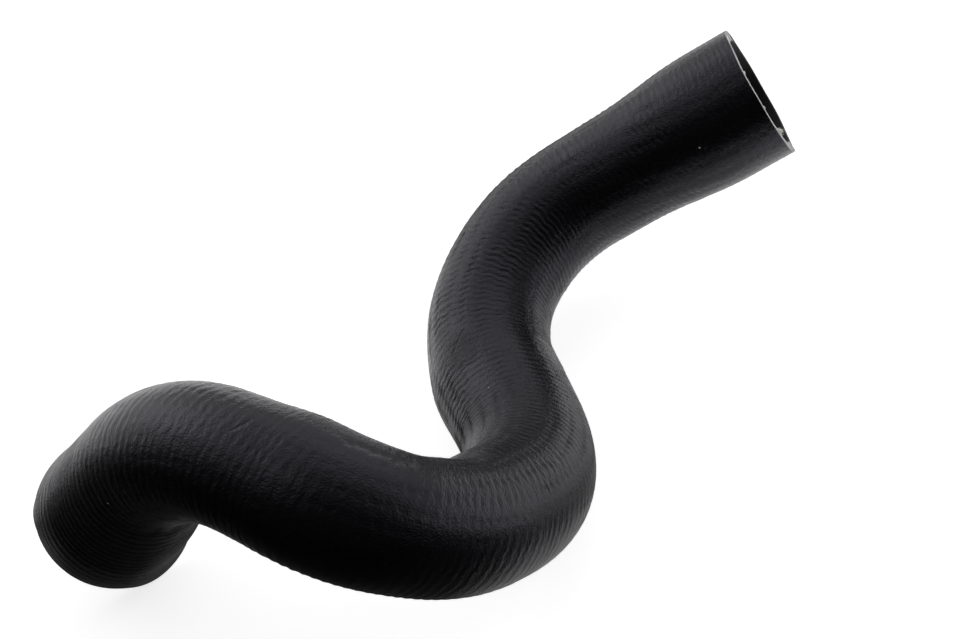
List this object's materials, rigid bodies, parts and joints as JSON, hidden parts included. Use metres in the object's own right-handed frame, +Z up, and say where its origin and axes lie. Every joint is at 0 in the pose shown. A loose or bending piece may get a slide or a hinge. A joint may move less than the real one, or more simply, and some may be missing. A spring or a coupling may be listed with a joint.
{
  "type": "air intake hose",
  "caption": "Moulded rubber air intake hose, bent in space, with a smooth bore and a wider plain end at each side for a pipe and a hose clamp.",
  "frame": {"origin": "on the surface that the hose lies on, below the middle of its box", "axes": "+Z up from that surface as the hose rests; +X is the way the small end faces, seen from above; +Y completes the right-handed frame"},
  "size_m": [0.3506, 0.2478, 0.1335],
  "materials": {
    "hose_rubber": "near-black satin rubber with fine ribs round the hose from the knitted reinforcement below its skin"
  },
  "bodies": {
    "root": {"intake_hose": "hose_rubber"}
  },
  "joints": []
}
